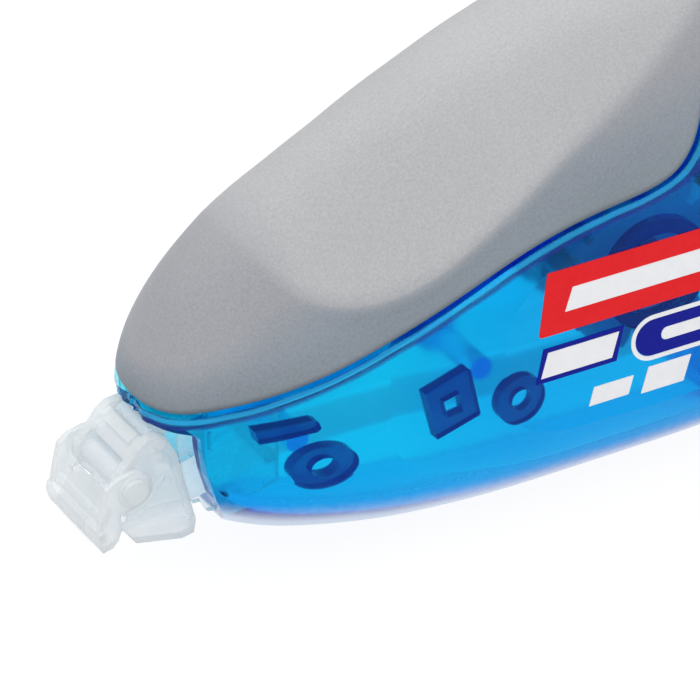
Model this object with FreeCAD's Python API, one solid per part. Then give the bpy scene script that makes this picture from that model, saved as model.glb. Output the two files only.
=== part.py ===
import FreeCAD, Part
import math, os
from FreeCAD import Vector

# Correction tape roller: two clear half shells with a soft grip, two geared reels, a rocking
# applicator tip and the tape between them. All sizes in mm.
# Frame: +X from nose to tail, +Y to the far side, +Z up; the origin is the middle of the flat
# underside. Places are given as (x, z) from the upper corner of the mouth; point() shifts them.
os.makedirs("parts", exist_ok=True)

# ---------------------------------------------------------------- driving dimensions
ORIGIN_X, ORIGIN_Z = 36.0, 12.4   # frame origin: this far behind and below the mouth corner
WALL = 1.3                        # wall of the clear shells
GRIP_T = 1.15                     # thickness of the soft grip
GRIP_BACKING = 1.2                # shell wall under the grip
GRIP_PROUD = 0.30                 # how far the grip stands above the shells
GRIP_GAP = 0.08                   # shell edge to grip edge
BEAD_W, BEAD_H = 0.70, 0.28       # trim bead round the grip
PANEL_Y = 9.85                    # half width over the flat side panels
CAVITY_Y = 7.6                    # half width of the cavity
RIB_H = 0.85                      # height of the ribs inside the near shell
PARTING = 0.02                    # taken off each shell at the parting plane
NOSE_X = -2.5
TAIL_X, TAIL_Z, TAIL_R = 55.8, 5.7, 17.5   # round tail
TAIL_BLEND = 4.2                  # length over which the body runs into the round tail
OUT_Y = 12                        # beyond the side walls
THROUGH_Y = 16                    # beyond the whole body, for cutters

TAPE_W, TAPE_T = 4.2, 0.06
MODULE, SUPPLY_TEETH, TAKEUP_TEETH = 0.7, 38, 18
REEL_PITCH = MODULE * (SUPPLY_TEETH + TAKEUP_TEETH) / 2
REEL_TILT = math.radians(5.55)    # slope of the line between the reel axes
SUPPLY = (TAIL_X, TAIL_Z)         # reel axes
TAKEUP = (TAIL_X - REEL_PITCH * math.cos(REEL_TILT), TAIL_Z - REEL_PITCH * math.sin(REEL_TILT))
ROLL_R, SUPPLY_CORE_R, SUPPLY_FLANGE_R = 12.0, 5.0, 12.5
TAKEUP_CORE_R, TAKEUP_FLANGE_R = 5.8, 6.6
SLEEVE_R = 2.7                    # sleeve of the supply gear that carries the hub
FILM_T = 0.28                     # film wound on the take-up reel
GLUE_GAP = 0.03                   # between a core and what is wound or pressed on it
POST_R = 1.9                      # reel posts
RUN = 0.05                        # radial running fit
BORE_R = POST_R + RUN
GEAR_Y0, GEAR_Y1 = -5.6, -3.75

GUIDE_FRONT, GUIDE_REAR = (9.25, -4.9), (24.85, -3.45)   # tape guide posts
GUIDE_R = 0.9
JOIN_TOP, JOIN_LOW = (45.5, 20.2), (44.8, -9.5)          # pins that join the shells
JOIN_BOSS_R = 1.7

AXLE, AXLE_R = (-4.55, -4.3), 1.0  # cross axle of the head
PIN, PIN_R = (-2.18, -1.48), 0.5   # pin that holds the head bracket
PIN_END_Y = 3.42                   # half length of the pin, and inner side of the blade arms
EDGE = (-7.3, -8.6)                # pressing edge of the blade
HOLDER_Y = 4.0                     # half width of the tip holder
HOLDER_REAR_X, HOLDER_TOP_Z = 6.95, -0.5


# ---------------------------------------------------------------- shape helpers
def point(x, y, z):
    return Vector(x - ORIGIN_X, y, z + ORIGIN_Z)


def mirrored(shape):
    """far side -> near side"""
    return shape.mirror(Vector(0, 0, 0), Vector(0, 1, 0))


def with_mirror(shape):
    return shape.fuse(mirrored(shape))


def prism(outline, y0, y1):
    """closed (x, z) outline pushed from y0 to y1"""
    corners = [point(x, y0, z) for x, z in outline]
    face = Part.Face(Part.makePolygon(corners + [corners[0]]))
    return face.extrude(Vector(0, y1 - y0, 0))


def cyl(centre, radius, y0, y1):
    """round bar along Y"""
    base = point(centre[0], y0, centre[1])
    return Part.makeCylinder(radius, y1 - y0, base, Vector(0, 1, 0))


def ring(centre, radius, bore, y0, y1):
    return cyl(centre, radius, y0, y1).cut(cyl(centre, bore, y0 - 1, y1 + 1))


def box(x0, x1, y0, y1, z0, z1):
    return Part.makeBox(x1 - x0, y1 - y0, z1 - z0, point(x0, y0, z0))


def slab(y0, width, z0=0):
    """block longer and higher than the body, with its bottom at frame height z0"""
    return Part.makeBox(200, width, 100, Vector(-100, y0, z0))


def arc(centre, radius, start, end, steps):
    """(x, z) points on an arc, angles in degrees"""
    angles = [math.radians(start + (end - start) * k / steps) for k in range(steps + 1)]
    return [(centre[0] + radius * math.cos(a), centre[1] + radius * math.sin(a)) for a in angles]


def rounded(bounds, grow, radius, y0, y1):
    """plate with round corners; bounds are x0, x1, z0, z1, moved outward by grow"""
    x0, x1, z0, z1 = bounds
    left, right = x0 - grow + radius, x1 + grow - radius
    low, high = z0 - grow + radius, z1 + grow - radius
    outline = []
    for k, corner in enumerate([(right, high), (left, high), (left, low), (right, low)]):
        outline += arc(corner, radius, 90 * k, 90 * k + 90, 10)
    return prism(outline, y0, y1)


def oval(centre, half_x, half_z, y0, y1, steps=40):
    angles = [2 * math.pi * k / steps for k in range(steps)]
    return prism([(centre[0] + half_x * math.cos(a), centre[1] + half_z * math.sin(a))
                  for a in angles], y0, y1)


def cut_hole_circle(shape, centre, circle_r, hole_r, count, start, y0, y1):
    """cut evenly spaced holes one by one; start in radians"""
    for k in range(count):
        a = 2 * math.pi * k / count + start
        hole = (centre[0] + circle_r * math.cos(a), centre[1] + circle_r * math.sin(a))
        shape = shape.cut(cyl(hole, hole_r, y0, y1))
    return shape


# ---------------------------------------------------------------- outer form
def monotone_curve(table):
    """monotone cubic through (x, value) points, held constant beyond its ends"""
    xs, ys = zip(*table)
    n = len(xs)
    step = [xs[i + 1] - xs[i] for i in range(n - 1)]
    chord = [(ys[i + 1] - ys[i]) / step[i] for i in range(n - 1)]
    slope = [0.0] * n
    for i in range(1, n - 1):
        if chord[i - 1] * chord[i] > 0:
            w1 = 2 * step[i] + step[i - 1]
            w2 = step[i] + 2 * step[i - 1]
            slope[i] = (w1 + w2) / (w1 / chord[i - 1] + w2 / chord[i])
    slope[0], slope[-1] = chord[0], chord[-1]

    def value(x):
        x = min(max(x, xs[0]), xs[-1])
        i = max(k for k in range(n - 1) if xs[k] <= x + 1e-12)
        t = (x - xs[i]) / step[i]
        return ((1 + 2 * t) * (1 - t) ** 2 * ys[i] + t * (1 - t) ** 2 * step[i] * slope[i]
                + t * t * (3 - 2 * t) * ys[i + 1] + t * t * (t - 1) * step[i] * slope[i + 1])
    return value


def on_tail(side, *offsets):
    """points of the tail circle behind its centre; side is +1 above, -1 below"""
    return [(TAIL_X + dx, TAIL_Z + side * math.sqrt(TAIL_R ** 2 - dx ** 2)) for dx in offsets]


# (x, z) of the crown and belly lines
CROWN = monotone_curve([
    (-2.5, 2.0), (-2.3, 3.0), (-1.6, 4.6), (0, 7.2), (3, 10.5), (7.5, 14.0), (13, 17.5),
    (20, 20.9), (27, 23.3), (34, 24.85), (42, 25.3), (49, 24.75), (55, 23.8)]
    + on_tail(1, TAIL_BLEND, 6))
BELLY = monotone_curve([
    (-2.5, -0.5), (-2.3, -2.6), (-1.5, -5.6), (2, -8.9), (8, -11.0), (16, -12.2), (24, -12.55),
    (38, -12.55), (46, -12.35), (52, -12.0)]
    + on_tail(-1, 0, TAIL_BLEND, 6))
# (x, half width)
WIDTH = monotone_curve([
    (-2.5, 0.0), (-2.42, 1.3), (-2.1, 2.7), (-1.4, 4.1), (0, 5.45), (2, 6.5), (5, 7.4),
    (10, 8.4), (18, 9.5), (28, 10.1), (38, 10.2), (52, 10.2), (TAIL_X, 10.1)])
# (x, superellipse exponent) of the upper and lower part of the section
UPPER_POWER = monotone_curve([(-3, 2.25), (20, 2.25), (35, 2.5), (55, 3.1), (80, 3.1)])
LOWER_POWER = monotone_curve([(-3, 4.0), (20, 4.2), (40, 4.0), (55, 3.3), (80, 3.3)])
WIDEST = 0.42            # height of the widest point, as a share of the section
NOSE_ZONE = 4.5          # length of the closely spaced nose stations
NOSE_STEPS, BODY_STEPS, TAIL_STEPS, SECTION_STEPS = 9, 17, 14, 28


def section(x, grow):
    """half width, crown, belly and widest height at x, of the form grown by grow"""
    if x > TAIL_X:
        radius = TAIL_R + grow
        u = (x - TAIL_X) / radius
        if u > 1 - 1e-9:
            u = 1.0
        rise = radius * max(math.sqrt(1 - u * u), 0.02)
        top, bottom = TAIL_Z + rise, TAIL_Z - rise
        t = (x - TAIL_X) / TAIL_BLEND
        if t < 1:
            top = t * top + (1 - t) * (CROWN(x) + grow)
            bottom = t * bottom + (1 - t) * (BELLY(x) - grow)
        width = (WIDTH(TAIL_X) + grow) * (1 - u ** 4.0) ** (1 / 2.1)
    else:
        start = NOSE_X - grow
        table_x = NOSE_X + (x - start) / (TAIL_X - start) * (TAIL_X - NOSE_X)
        share = min(1.0, 0.35 + (x - start) / 3.0)   # less growth at the nose
        top = CROWN(table_x) + grow * share
        bottom = BELLY(table_x) - grow * share
        width = WIDTH(table_x)
        width += grow * min(1.0, width / 4.0)
    return width, top, bottom, bottom + WIDEST * (top - bottom)


def half_body(grow):
    """solid far half of the outer form grown by grow"""
    start, end = NOSE_X - grow, TAIL_X + TAIL_R + grow
    stations = [start + NOSE_ZONE * (1 - math.cos(math.pi / 2 * i / NOSE_STEPS))
                for i in range(NOSE_STEPS + 1)]
    stations += [start + NOSE_ZONE + (TAIL_X - start - NOSE_ZONE) * i / BODY_STEPS
                 for i in range(1, BODY_STEPS + 1)]
    stations += [TAIL_X + (end - TAIL_X) * math.sin(math.pi / 2 * i / TAIL_STEPS)
                 for i in range(1, TAIL_STEPS + 1)]
    grid = []
    for x in stations:
        width, top, bottom, middle = section(x, grow)
        row = []
        for j in range(SECTION_STEPS + 1):
            angle = -math.pi / 2 + math.pi * j / SECTION_STEPS
            across, up = max(0.0, math.cos(angle)), math.sin(angle)
            power = UPPER_POWER(x) if up >= 0 else LOWER_POWER(x)
            r = (across ** power + abs(up) ** power) ** (-1 / power)
            y = width * across * r if 0 < j < SECTION_STEPS else 0.0
            z = middle + (top - middle if up >= 0 else middle - bottom) * up * r
            row.append(point(x, y, z))
        grid.append(row)
    surface = Part.BSplineSurface()
    surface.interpolate(grid)
    skin = surface.toShape()
    rim = Part.Wire(Part.__sortEdges__([e for e in skin.Edges if e.Length > 1e-4]))
    # guards against a rim that is not found flat: the plane y = 0 is then given
    try:
        cap = Part.Face(rim)
    except Part.OCCError:
        cap = Part.Face(Part.Plane(Vector(0, 0, 0), Vector(0, 1, 0)), rim)
    solid = Part.Solid(Part.Shell([skin, cap]))
    if solid.Volume < 0:
        solid.reverse()
    return solid


# lower edge of the grip on the sides, (x, z)
GRIP_LINE = [
    (-8.0, 0.75), (-5.0, 0.8), (-2.6, 0.95), (-1.0, 1.15), (0.7, 1.55), (4.0, 2.15),
    (9.1, 3.35), (14.4, 5.35), (19.9, 7.7), (25.6, 10.05), (30.5, 11.25), (34.3, 11.9),
    (36.7, 12.8), (38.3, 14.6), (39.3, 17.2), (40.3, 20.2), (41.6, 23.4), (44.5, 29.0)]
GRIP_STEPS = 70
ABOVE_BODY_Z = 34


def grip_prism(offset):
    """everything above the grip line, the line moved outward by offset"""
    line = Part.BSplineCurve()
    line.interpolate([Vector(x, 0, z) for x, z in GRIP_LINE])
    first, last = line.FirstParameter, line.LastParameter
    moved = []
    for i in range(0, GRIP_STEPS + 1, 2):
        u = first + (last - first) * i / GRIP_STEPS
        p, tangent = line.value(u), line.tangent(u)[0]
        moved.append(point(p.x + tangent.z * offset, -THROUGH_Y, p.z - tangent.x * offset))
    edge = Part.BSplineCurve()
    edge.interpolate(moved)
    front, rear = edge.value(edge.FirstParameter), edge.value(edge.LastParameter)
    top_z = ABOVE_BODY_Z + ORIGIN_Z
    rear_top = Vector(rear.x, -THROUGH_Y, top_z)
    front_top = Vector(front.x, -THROUGH_Y, top_z)
    wire = Part.Wire([edge.toShape(), Part.makeLine(rear, rear_top),
                      Part.makeLine(rear_top, front_top), Part.makeLine(front_top, front)])
    return Part.Face(wire).extrude(Vector(0, 2 * THROUGH_Y, 0))


# ---------------------------------------------------------------- shells
MOUTH = [(-12, -0.35), (-0.35, -0.35), (-0.05, -0.6), (0.05, -1.0), (0.12, -2.0), (0.45, -3.9),
         (1.05, -6.0), (1.96, -8.1), (3.1, -10.2), (4.6, -12.6), (7.0, -16), (-12, -16)]
HOLDER_POCKET = [(-1.2, -0.40), (7.7, -0.40), (7.7, -6.7), (3.65, -7.95), (1.9, -8.1),
                 (-1.2, -8.1)]
STRAIGHT_RIB = [(4.23, -1.04), (8.35, -0.81), (8.75, -0.99), (8.92, -1.53), (8.65, -1.75),
                (5.95, -1.99), (4.48, -2.05)]
MOUTH_STOP = [(0.35, -0.8), (1.5, -0.8), (1.5, -2.2), (0.55, -2.2)]
LATCH_PLATE = [(16.91, -0.64), (20.36, 0.54), (20.56, 0.38), (21.42, -3.47), (21.34, -3.64),
               (17.90, -4.70)]
LATCH_WINDOW = [(18.38, -1.67), (19.71, -1.32), (20.01, -2.92), (18.73, -3.17)]


def shell_blank(outer, grip_space, under_grip):
    """hollow far shell before anything is moulded inside it"""
    shell = outer.common(slab(0, PANEL_Y))
    bead = half_body(BEAD_H).common(grip_prism(BEAD_W)).cut(grip_space)
    shell = shell.fuse(bead.common(slab(0, PANEL_Y + 0.2)))
    shell = shell.cut(grip_space.cut(under_grip))
    cavity = half_body(-WALL).cut(grip_prism(WALL + 0.1))
    cavity = cavity.fuse(half_body(-GRIP_T - GRIP_BACKING))
    shell = shell.cut(cavity.common(slab(-1, CAVITY_Y + 1)))
    shell = shell.cut(prism(MOUTH, -THROUGH_Y, THROUGH_Y))
    shell = shell.cut(prism(HOLDER_POCKET, -HOLDER_Y - 0.06, HOLDER_Y + 0.06))
    # shallow relief for the tape in the floor of the mouth
    shell = shell.cut(box(1.0, 9.5, -2.6, 2.6, -8.35, -6.8))
    return shell.cut(slab(0, PARTING, -20))


def moulding_limit(outer, grip_space, under_grip):
    """far space that anything moulded on the inside must stay within"""
    limit = outer.cut(grip_space).fuse(under_grip.common(grip_space))
    limit = limit.common(slab(-1, PANEL_Y - 0.3))
    return half_body(-0.4).common(limit)


def far_housing_shell(blank, limit):
    features = []
    for axis in (SUPPLY, TAKEUP):          # stepped reel posts
        features += [cyl(axis, 3.4, 3.15, OUT_Y).common(limit),
                     cyl(axis, POST_R, -6.6, 5.0),
                     cyl(axis, 1.2, -7.6, -6.0)]
    for guide in (GUIDE_FRONT, GUIDE_REAR):
        features += [cyl(guide, 1.6, 2.5, OUT_Y).common(limit), cyl(guide, GUIDE_R, -2.6, 3.0)]
    for join in (JOIN_TOP, JOIN_LOW):      # bosses with their pins
        features += [cyl(join, JOIN_BOSS_R, 0.03, OUT_Y).common(limit),
                     cyl(join, 0.88, -2.6, 3.0)]
    return blank.fuse(features).removeSplitter()


def near_housing_shell(blank, far_limit):
    limit = mirrored(far_limit)
    above_ribs = mirrored(half_body(-WALL - RIB_H).common(slab(0, CAVITY_Y - RIB_H)))

    def rib(shape):
        return shape.common(limit).cut(above_ribs)

    # bosses opposite the guide posts
    features = [rib(oval(GUIDE_FRONT, 2.5, 1.72, -OUT_Y, -4)
                    .cut(oval(GUIDE_FRONT, 1.02, 0.8, -OUT_Y - 1, -3))),
                rib(ring(GUIDE_REAR, 1.96, 0.87, -OUT_Y, -4))]
    for join in (JOIN_TOP, JOIN_LOW):      # sockets for the joining pins
        features.append(ring(join, JOIN_BOSS_R, 0.94, -OUT_Y, -0.03).common(limit))
    for axis in (TAKEUP, SUPPLY):          # low ring, and socket for the post end
        features.append(rib(ring(axis, 4.5, 3.3, -OUT_Y, -4)))
        features.append(ring(axis, 2.0, 1.26, -OUT_Y, -6.75).common(limit))
    features.append(rib(prism(STRAIGHT_RIB, -OUT_Y, -3)))
    features.append(prism(MOUTH_STOP, -OUT_Y, -4.15).common(limit))
    features.append(rib(prism(LATCH_PLATE, -OUT_Y, -5)
                        .cut(prism(LATCH_WINDOW, -OUT_Y - 1, -4))))
    return mirrored(blank).fuse(features).removeSplitter()


def housing_shells():
    form = half_body(0.0), grip_prism(GRIP_GAP), half_body(-GRIP_T)
    blank, limit = shell_blank(*form), moulding_limit(*form)
    return {"far_housing_shell": far_housing_shell(blank, limit),
            "near_housing_shell": near_housing_shell(blank, limit)}


def soft_grip():
    half = half_body(GRIP_PROUD).common(grip_prism(0.0)).cut(half_body(-GRIP_T + 0.02))
    return with_mirror(half.common(slab(0, PANEL_Y + 0.3))).removeSplitter()


# ---------------------------------------------------------------- side prints, plain shapes
PRINT_Y0, PRINT_Y1 = PANEL_Y + 0.01, PANEL_Y + 0.07
PRINT_GAP = 0.03
# x0, x1, z0, z1
RED_BAND = (25.2, 53.0, 2.35, 7.6)
PILL, PILL_R = (33.2, 53.0, -2.35, 1.45), 1.85
PILL_BAR = (35.8, 50.4, -0.95, 0.1)
RED_BAND_TRIM = [(24.9, 2.2), (25.22, 2.2), (25.85, 7.8), (24.9, 7.8)]   # slants the front end
# x0, x1, z0, z1, lean of the top edge towards the tail
BAND_BAR = (27.4, 50.6, 4.0, 5.9, 0.6)
FRONT_BAR = (25.5, 31.55, -1.1, 0.95, 0.55)
LOW_BAR = (29.7, 33.1, -4.7, -3.2, 0.4)
LOW_SWATCH = (34.2, 37.9, -5.0, -2.9, 0.6)


def side_prints(side):
    y0, y1 = (PRINT_Y0, PRINT_Y1) if side == "far" else (-PRINT_Y1, -PRINT_Y0)

    def slanted(bar, grow=0):
        x0, x1, z0, z1, lean = bar
        return prism([(x0 - grow, z0 - grow), (x1 + grow, z0 - grow),
                      (x1 + lean + grow, z1 + grow), (x0 + lean - grow, z1 + grow)], y0, y1)

    def pill_bar(grow=0):
        return rounded(PILL_BAR, grow, 0.5, y0, y1)

    band = rounded(RED_BAND, 0, 0.35, y0, y1).cut(prism(RED_BAND_TRIM, y0 - 1, y1 + 1))
    rim = rounded(PILL, 0, PILL_R, y0, y1)
    rim = rim.cut(rounded(PILL, -0.35, PILL_R - 0.35, y0 - 1, y1 + 1))
    fill = rounded(PILL, -0.4, PILL_R - 0.4, y0, y1).cut(pill_bar(PRINT_GAP))
    outline = slanted(FRONT_BAR, 0.4).cut(slanted(FRONT_BAR, PRINT_GAP))
    white = [rim, slanted(LOW_SWATCH), slanted(BAND_BAR), pill_bar(), slanted(FRONT_BAR),
             slanted(LOW_BAR)]
    return {side + "_red_print": band.cut(slanted(BAND_BAR, PRINT_GAP)),
            side + "_blue_print": Part.makeCompound([fill, outline]),
            side + "_white_print": Part.makeCompound(white)}


# ---------------------------------------------------------------- gears
BACKLASH = 0.05          # thinning of each tooth flank pair
PRESSURE_ANGLE = math.radians(20)
FLANK_STEPS = 5


def gear(centre, teeth, phase):
    """involute spur gear; phase is the direction of one tooth"""
    pitch_r = MODULE * teeth / 2
    base_r = pitch_r * math.cos(PRESSURE_ANGLE)
    tip_r = pitch_r + MODULE * 0.97
    root_r = pitch_r - 1.22 * MODULE

    def involute(r):
        a = math.acos(min(1, base_r / r))
        return math.tan(a) - a

    half_angle = math.pi / (2 * teeth) - BACKLASH / (2 * pitch_r) + involute(pitch_r)
    start_r = max(base_r, root_r + 0.05)
    radii = [start_r + (tip_r - start_r) * k / FLANK_STEPS for k in range(FLANK_STEPS + 1)]
    flank = [(r, half_angle - involute(r)) for r in radii]
    foot = flank[0][1] * 1.02
    tooth = [(root_r, -foot)] + [(r, -a) for r, a in flank]
    tooth += flank[::-1] + [(root_r, foot), (root_r, math.pi / teeth)]
    outline = []
    for k in range(teeth):
        turn = phase + 2 * math.pi * k / teeth
        outline += [(centre[0] + r * math.cos(turn + a), centre[1] + r * math.sin(turn + a))
                    for r, a in tooth]
    return prism(outline, GEAR_Y0, GEAR_Y1)


def takeup_hexagon(radius, y0, y1):
    """hexagonal drive between the take-up gear and its reel"""
    return prism(arc(TAKEUP, radius, 0, 300, 5), y0, y1)


def supply_gear():
    recess_r, boss_r = 11.3, 5.2
    wheel = gear(SUPPLY, SUPPLY_TEETH, REEL_TILT - math.pi)
    wheel = wheel.cut(ring(SUPPLY, recess_r, boss_r, GEAR_Y1 - 0.7, GEAR_Y1 + 1))
    wheel = wheel.cut(ring(SUPPLY, recess_r, boss_r, GEAR_Y0 - 1, GEAR_Y0 + 0.5))
    wheel = cut_hole_circle(wheel, SUPPLY, 8.2, 2.0, 5, 0.4, GEAR_Y0 - 1, GEAR_Y1 + 1)
    wheel = wheel.fuse(cyl(SUPPLY, SLEEVE_R, GEAR_Y1 - 0.2, 2.95))
    return wheel.cut(cyl(SUPPLY, BORE_R, -10, 10)).removeSplitter()


def take_up_gear():
    # turned half a tooth so that the gears mesh
    wheel = gear(TAKEUP, TAKEUP_TEETH, REEL_TILT + math.pi / TAKEUP_TEETH)
    wheel = wheel.fuse(takeup_hexagon(3.2, GEAR_Y1 - 0.2, -1.2))
    return wheel.cut(cyl(TAKEUP, BORE_R, -10, 10)).removeSplitter()


# ---------------------------------------------------------------- reels
def supply_reel_hub():
    bore = SLEEVE_R + RUN
    hub = ring(SUPPLY, SUPPLY_CORE_R, bore, -3.0, 2.3)
    hub = hub.fuse(ring(SUPPLY, SUPPLY_FLANGE_R, bore, 2.25, 2.9))
    return cut_hole_circle(hub, SUPPLY, 8.8, 1.9, 6, 0, 2.0, 3.5).removeSplitter()


def supply_reel_disc():
    return ring(SUPPLY, SUPPLY_FLANGE_R, SUPPLY_CORE_R + GLUE_GAP, -2.95, -2.3)


def supply_tape_roll():
    return ring(SUPPLY, ROLL_R, SUPPLY_CORE_R + GLUE_GAP, -TAPE_W / 2, TAPE_W / 2)


def clutch_spring():
    """washer with three curved slots"""
    slot_in, slot_out, slot_span = 3.55, 3.95, 80
    washer = ring(SUPPLY, 4.6, 2.78, -3.68, -3.06)
    for k in range(3):
        start = 120 * k + 20
        end = start + slot_span
        slot = arc(SUPPLY, slot_in, start, end, 8) + arc(SUPPLY, slot_out, end, start, 8)
        washer = washer.cut(prism(slot, -4, -2.9))
    return washer


def take_up_reel():
    reel = ring(TAKEUP, TAKEUP_CORE_R, BORE_R, -2.95, 2.9)
    reel = reel.fuse([ring(TAKEUP, TAKEUP_FLANGE_R, BORE_R, 2.3, 2.9),
                      ring(TAKEUP, TAKEUP_FLANGE_R, BORE_R, -2.95, -2.35)])
    reel = reel.cut(takeup_hexagon(3.28, -5, -1.15))
    return reel.cut(ring(TAKEUP, 4.9, 2.9, 0.5, 5)).removeSplitter()


def take_up_film():
    return ring(TAKEUP, TAKEUP_CORE_R + FILM_T, TAKEUP_CORE_R + GLUE_GAP, -2.1, 2.1)


# ---------------------------------------------------------------- tip, (x, z) outlines
HOLDER_CHEEK = [
    (-0.95, -1.5), (-0.6, -0.75), (0.1, HOLDER_TOP_Z), (HOLDER_REAR_X, HOLDER_TOP_Z),
    (HOLDER_REAR_X, -6.8), (3.6, -7.85), (1.9, -8.0), (1.3, -8.0), (0.75, -6.9), (0.1, -6.9),
    (-0.45, -4.6)]
HOLDER_LUG = [
    (-2.75, -1.95), (-2.85, -1.15), (-2.35, -0.78), (-1.6, -0.55),
    (HOLDER_REAR_X, HOLDER_TOP_Z), (HOLDER_REAR_X, -1.25), (-0.9, -1.25), (-1.6, -2.05),
    (-2.2, -2.15)]
BRACKET_TOP = [(-2.15, -0.84), (-3.05, -0.88), (-3.87, -1.47), (-4.63, -2.42), (-5.35, -3.15)]
BRACKET_REAR = [(0.66, -8.64), (-0.1, -5.6), (-0.76, -2.69), (-1.61, -1.08)]
BRACKET_CHEEK = BRACKET_TOP + [
    (-5.9, -4.3), (-5.4, -5.6), (-4.5, -6.6), (-4.64, -7.67), (-5.05, -8.04), (-4.2, -9.21),
    (-0.5, -9.97), (0.47, -9.78)] + BRACKET_REAR
BRACKET_BAND = BRACKET_TOP + [
    (-5.2, -3.4), (-3.87, -2.25), (-1.84, -2.24), (-1.3, -2.9), (-0.65, -5.7),
    (0.1, -8.5)] + BRACKET_REAR
BRACKET_FOOT = [(-4.9, -7.65), (-0.37, -8.31), (0.66, -8.64), (0.47, -9.78), (-0.5, -9.97),
                (-4.2, -9.21), (-5.05, -8.04)]
BRACKET_WEB = [(-3.0, -1.15), (-3.8, -1.75), (-4.55, -2.65), (-4.2, -3.0), (-3.5, -2.35),
               (-2.98, -1.9)]
BLADE_ARM = [(-6.75, -3.65), (-5.9, -3.1), (-5.0, -2.9), (-4.4, -5.8), (-5.62, -6.1),
             (-5.65, -7.2), (-6.5, -8.4), EDGE, (-7.5, -7.6), (-7.4, -6.7), (-7.1, -5.2)]
BLADE_BAR = [EDGE, (-7.56, -7.7), (-7.45, -6.95), (-6.95, -6.75), (-6.35, -7.4), (-6.5, -8.4)]


def tip_holder():
    """clear frame fixed in the mouth"""
    holder = with_mirror(prism(HOLDER_CHEEK, 3.35, HOLDER_Y))
    lug = prism(HOLDER_LUG, -2.35, 2.35)
    top = box(0.3, HOLDER_REAR_X, -3.6, 3.6, -1.25, HOLDER_TOP_Z)
    rear = box(6.3, HOLDER_REAR_X, -3.6, 3.6, -5.6, -4.6)
    holder = holder.fuse([lug, top, rear]).cut(cyl(PIN, PIN_R + 0.02, -5, 5))
    return holder.removeSplitter()


def head_bracket():
    y_in, y_step, y_out = 2.45, 2.8, 3.3
    bracket = prism(BRACKET_CHEEK, y_in, 2.9)
    bracket = bracket.fuse([prism(BRACKET_BAND, y_step, y_out),
                            prism(BRACKET_FOOT, y_step, y_out),
                            cyl(PIN, 0.66, y_step, y_out),
                            cyl(AXLE, 1.3, y_in, y_out)])
    bracket = with_mirror(bracket).fuse(prism(BRACKET_WEB, -2.6, 2.6))
    bracket = bracket.cut(cyl(AXLE, AXLE_R + 0.01, -6, 6)).cut(cyl(PIN, PIN_R + 0.01, -6, 6))
    return bracket.removeSplitter()


def head_pin():
    return cyl(PIN, PIN_R, -PIN_END_Y, PIN_END_Y)


def cross_axle():
    return cyl(AXLE, AXLE_R, -4.4, 4.4)


def applicator_blade():
    """blade that rocks on the cross axle"""
    arm_out = 3.95
    arm = cyl(AXLE, 1.5, PIN_END_Y, arm_out).fuse(prism(BLADE_ARM, PIN_END_Y, arm_out))
    blade = with_mirror(arm).fuse(prism(BLADE_BAR, -4.22, 4.22))
    return blade.cut(cyl(AXLE, AXLE_R + 0.04, -6, 6)).removeSplitter()


# ---------------------------------------------------------------- tape runs
TAPE_LIFT = 0.08         # middle of the tape above the post it passes
TIP_LOOP = [(-5.5, -8.80), (-7.25, -8.78), (-7.44, -8.64), (-7.68, -7.7), (-7.58, -6.85),
            (-7.42, -6.66), (-5.64, -3.88)]


def ribbon(path):
    """tape along an (x, z) path"""
    last = len(path) - 1
    left, right = [], []
    for i, (x, z) in enumerate(path):
        xa, za = path[max(0, i - 1)]
        xb, zb = path[min(last, i + 1)]
        length = math.hypot(xb - xa, zb - za)
        dx = -(zb - za) / length * TAPE_T / 2
        dz = (xb - xa) / length * TAPE_T / 2
        left.append((x + dx, z + dz))
        right.append((x - dx, z - dz))
    return prism(left + right[::-1], -TAPE_W / 2, TAPE_W / 2)


def tape_feed_run():
    """from under the supply roll, below the front guide, to the tip"""
    return ribbon([(SUPPLY[0], SUPPLY[1] - ROLL_R - 0.09)]
                  + arc(GUIDE_FRONT, GUIDE_R + TAPE_LIFT, -88, -96, 4) + [(-5.2, -8.83)])


def film_return_run():
    """over the cross axle and the rear guide to the underside of the take-up reel"""
    return ribbon(arc(AXLE, AXLE_R + TAPE_LIFT, 150, 92, 6)
                  + arc(GUIDE_REAR, GUIDE_R + TAPE_LIFT, 95, 82, 4)
                  + [(TAKEUP[0] - 0.6, TAKEUP[1] - TAKEUP_CORE_R - FILM_T - 0.1)])


def tape_tip_loop():
    return ribbon(TIP_LOOP)


# ---------------------------------------------------------------- build and write
parts = {**housing_shells(), **side_prints("near"), **side_prints("far")}
for build in (soft_grip, supply_gear, take_up_gear, supply_reel_hub, supply_reel_disc,
              supply_tape_roll, clutch_spring, take_up_reel, take_up_film, tip_holder,
              head_bracket, head_pin, cross_axle, applicator_blade, tape_feed_run,
              tape_tip_loop, film_return_run):
    parts[build.__name__] = build()

for name, shape in parts.items():
    shape.exportStep("parts/%s.step" % name)
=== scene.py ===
"""Tape dispenser with two clear tinted housing shells and a soft grip.

The tip points to -X and the reels lie towards +X; the near shell is on -Y, the far one on +Y.
Shapes are drawn in mm from the upper corner of the mouth; the frame is in metres, with its
origin on the floor below the middle.
"""
import math

import bmesh
import bpy
import numpy as np
from mathutils import Matrix, Vector


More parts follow.
